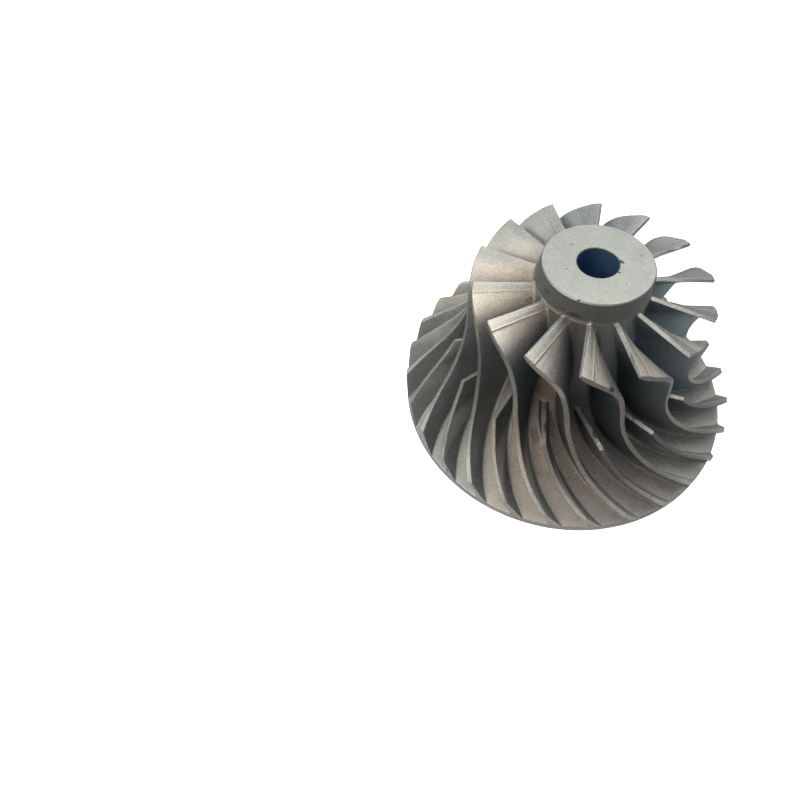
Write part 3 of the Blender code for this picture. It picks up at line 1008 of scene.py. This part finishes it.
# Tints, blade by blade: partly oxide, partly a painted tint of the light, blue in the shade and straw in the
# warm light.
RIM_TINTS = [0.3, 0.1, 0.3, 0.3, 0.3, 0.3, 0.3, 0.3, 0.3, 0.2, 0.4, 0.4, 0.5, 0.4]
WALL_TINTS = [-0.3, -0.4, 0, 0.5, 0.2, 0, 0, 0, 0, 0.2, 0.4, 0.5, 0.5, 0.2]
FACE_TINTS = [-0.3, -0.3, -0.4, -0.3, -0.1, -0.2, -0.2, -0.2, -0.2, -0.3, -0.3, -0.1, -0.4, -0.4]
FRONT_TINTS = [0, -0.1, -0.4, -0.4, -0.1, -0.2, -0.1, 0, 0, -0.1, 0, 0, 0.1, 0]
upper_tints = [(0.012, RIM_TINTS), (0.020, WALL_TINTS), (0.048, WALL_TINTS), (0.057, FACE_TINTS)]
upper_tints += [(0.061, FACE_TINTS), (0.0645, FRONT_TINTS)]
UNDER_TINTS = [0, -0.3, -0.1, 0.5, 1.0, 1.0, 0.9, 0.5, 0.3, 0.3, 0.3, 0.3, -0.2, -0.4]
under_tints = [(0, UNDER_TINTS)]
TIP_TINTS = [-0.8, -0.9, -1.0, -0.5, 0, 0, 0, 0, 0, 0, 0, 0, -0.3, -1.0]
TIP_TOP_TINTS = [-0.8, -1.0, -1.0, -1.0, -0.9, -0.5, -0.5, -0.5, -0.5, -0.5, -0.5, -0.5, -0.8, -1.0]
tip_tints = [(0.020, PLAIN), (0.028, TIP_TINTS), (0.055, TIP_TINTS), (0.060, TIP_TOP_TINTS)]
paint_light_by_blade(full_blades, upper_shares, under_shares, tip_shares, upper_tints, under_tints, tip_tints)
full_blade_solids = [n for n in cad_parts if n.startswith("full_blade")]
dress(full_blades, cast_blade_metal, full_blade_solids)

# Splitter blades. They are cast in one with the hub too. Each stands midway between two full blades in the
# outer half of the passage, with a flat leading edge that rises outwards, and runs to the rim beside them.
SPLITTER_START_TIP = 0.599
SPLITTER_START_ROOT = 0.462
SPLITTER_STEPS = 60
SPLITTER_CORNER = math.radians(35)
HALF_PITCH = math.pi / BLADE_PAIRS
splitter_shape = BladeShape(SPLITTER_START_TIP, SPLITTER_START_ROOT, 0)
splitter_rings = blade_rings(splitter_shape, stations_to_rim(splitter_shape, [], SPLITTER_STEPS))
one_splitter = blade("one_splitter_blade", splitter_rings, splitter_rings)
splitter_blades = row_of(one_splitter, "splitter_blades", cast_blade_metal, FIRST_BLADE_AZIMUTH + HALF_PITCH)
splitter_blades.data.set_sharp_from_angle(angle=SPLITTER_CORNER)
roughen(splitter_blades, amount=0.00008, size=0.005, seed=2.3)
# Painted light and shade: each splitter's share of paleness, by where it stands round the wheel.
SPLITTER_SHARES = [1.0, 1.0, 1.05, 1.05, 1.25, 1.3, 1.3, 1.3, 1.3, 1.3, 1.4, 1.2, 1.0, 1.0]
MIDDLE_SHARES = [1.85, 1.35, 1.55, 1.2, 1.25, 1.3, 1.3, 1.3, 1.3, 1.3, 1.75, 1.5, 1.6, 1.85]
SPLITTER_TOP_SHARES = [0.82, 0.98, 0.90, 0.92, 1.25, 1.3, 1.3, 1.3, 1.3, 1.3, 1.4, 1.8, 1.35, 0.88]
splitter_shares = [(0.011, SPLITTER_SHARES), (0.0135, MIDDLE_SHARES), (0.017, MIDDLE_SHARES)]
splitter_shares += [(0.020, SPLITTER_SHARES), (0.025, SPLITTER_TOP_SHARES)]
SPLITTER_TIP_SHARES = [0.70, 0.62, 0.64, 0.74, 1.15, 1.1, 1.1, 1.1, 1.1, 1.1, 1.05, 1.05, 0.90, 0.93]
splitter_tips = [(0.014, EVEN), (0.018, SPLITTER_TIP_SHARES)]
# Tints of the splitter tips: partly oxide, partly a painted tint of the light.
SPLITTER_TIP_TINTS = [-0.7, -0.6, -0.2, 0, 0, 0, 0, 0, 0, 0, 0, 0, -0.3, -0.5]
side_tints = [(0, RIM_TINTS)]
splitter_tip_tints = [(0.014, PLAIN), (0.018, SPLITTER_TIP_TINTS)]
splitter_finish = [splitter_shares, splitter_shares, splitter_tips]
splitter_finish += [side_tints, side_tints, splitter_tip_tints]
paint_light_by_blade(splitter_blades, *splitter_finish)
splitter_solids = [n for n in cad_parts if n.startswith("splitter")]
dress(splitter_blades, cast_blade_metal, splitter_solids)

# Stage. A plain white floor and backdrop glow by themselves and show to the camera only, so that the ground
# has no shadow and the passages stay dark. Soft lamps stand round the wheel, the brightest behind it.
STAGE_RADIUS = 6.0
GROUND_GLOW = 1.0
BOUNCE_BELOW = (0.45, 0.50, 0.515, 1)
DIM_ABOVE = (0.004, 0.005, 0.007, 1)


def ground_paint(name, colour):
    values = {"Base Color": colour, "Roughness": 1.0, "Specular IOR Level": 0.0}
    values |= {"Emission Color": WHITE, "Emission Strength": GROUND_GLOW}
    return new_material(name, values)[0]


def stage_piece(name, make_mesh, paint, **sizes):
    shell = bmesh.new()
    make_mesh(shell, radius=STAGE_RADIUS, **sizes)
    mesh = bpy.data.meshes.new(name)
    shell.to_mesh(mesh)
    shell.free()
    mesh.shade_smooth()
    mesh.materials.append(paint)
    piece = bpy.data.objects.new(name, mesh)
    bpy.context.scene.collection.objects.link(piece)
    piece.visible_diffuse = False
    piece.visible_glossy = False
    piece.visible_shadow = False


floor_paint = ground_paint("floor_paint", (0.96, 0.94, 1.0, 1))
backdrop_paint = ground_paint("backdrop_paint", (0, 0, 0, 1))
stage_piece("floor", bmesh.ops.create_circle, floor_paint, cap_ends=True, segments=96)
stage_piece("backdrop", bmesh.ops.create_uvsphere, backdrop_paint, u_segments=64, v_segments=32)

world = bpy.data.worlds.new("studio")
bpy.context.scene.world = world
world.use_nodes = True
sky = world.node_tree
direction = add_node(sky, "ShaderNodeTexCoord", -900, 0)
parts = add_node(sky, "ShaderNodeSeparateXYZ", -700, 0)
sky.links.new(direction.outputs["Generated"], parts.inputs["Vector"])
shade = ramp(sky, parts.outputs["Z"], [(0.0, BOUNCE_BELOW), (0.02, DIM_ABOVE)], -450, 0)
sky.links.new(shade, sky.nodes["Background"].inputs["Color"])
sky.nodes["Background"].inputs["Strength"].default_value = 1.0
bpy.context.scene.view_settings.view_transform = "Standard"

LAMP_DISTANCE = 2.5
LAMP_AIM = Vector((0, 0, 0.03))


def soft_lamp(name, azimuth, elevation, width, glow):
    """Round lamp aimed at the wheel. glow is its light on a surface facing it: 1 shows white as white."""
    light = bpy.data.lights.new(name, "AREA")
    light.shape = "DISK"
    light.size = width
    light.color = glow
    light.energy = (math.pi * LAMP_DISTANCE) ** 2
    lamp = bpy.data.objects.new(name, light)
    turn, lift = math.radians(azimuth), math.radians(elevation)
    toward = Vector((math.cos(lift) * math.sin(turn), -math.cos(lift) * math.cos(turn), math.sin(lift)))
    lamp.location = LAMP_AIM + toward * LAMP_DISTANCE
    lamp.rotation_euler = toward.to_track_quat("Z", "Y").to_euler()
    lamp.visible_camera = False
    bpy.context.scene.collection.objects.link(lamp)


soft_lamp("window_back", 178, 62, 1.3, (0.479, 0.525, 0.463))
soft_lamp("back_low", 180, 24, 1.2, (0.085, 0.082, 0.100))
soft_lamp("over_right", 133, 67, 1.4, (0.252, 0.240, 0.219))
soft_lamp("right_high", 80, 60, 1.3, (0.063, 0.052, 0.040))
soft_lamp("right_low", 120, 32, 1.3, (0.060, 0.068, 0.075))
soft_lamp("front_right_high", 30, 66, 1.4, (0.105, 0.110, 0.125))
soft_lamp("front_left_high", 340, 42, 1.2, (0.240, 0.218, 0.190))
soft_lamp("left_front", 312, 37, 1.2, (0.349, 0.338, 0.284))
soft_lamp("front_left_low", 345, 20, 1.2, (0.130, 0.115, 0.092))
soft_lamp("left", 280, 40, 1.2, (0.088, 0.131, 0.163))
soft_lamp("back_left", 225, 14, 1.3, (0.117, 0.147, 0.170))

PHOTO_CAMERA_PLACE = (0.0, -0.1512, 0.2120)
PHOTO_CAMERA_TURN = (32.318, 2.467, 23.037)
PHOTO_CAMERA_LENS = 25.94
camera_data = bpy.data.cameras.new("photo_camera")
camera_data.lens = PHOTO_CAMERA_LENS
camera_data.sensor_width = 36
camera_data.clip_start = 0.01
camera = bpy.data.objects.new("photo_camera", camera_data)
camera.location = PHOTO_CAMERA_PLACE
camera.rotation_euler = [math.radians(a) for a in PHOTO_CAMERA_TURN]
bpy.context.scene.collection.objects.link(camera)
bpy.context.scene.camera = camera
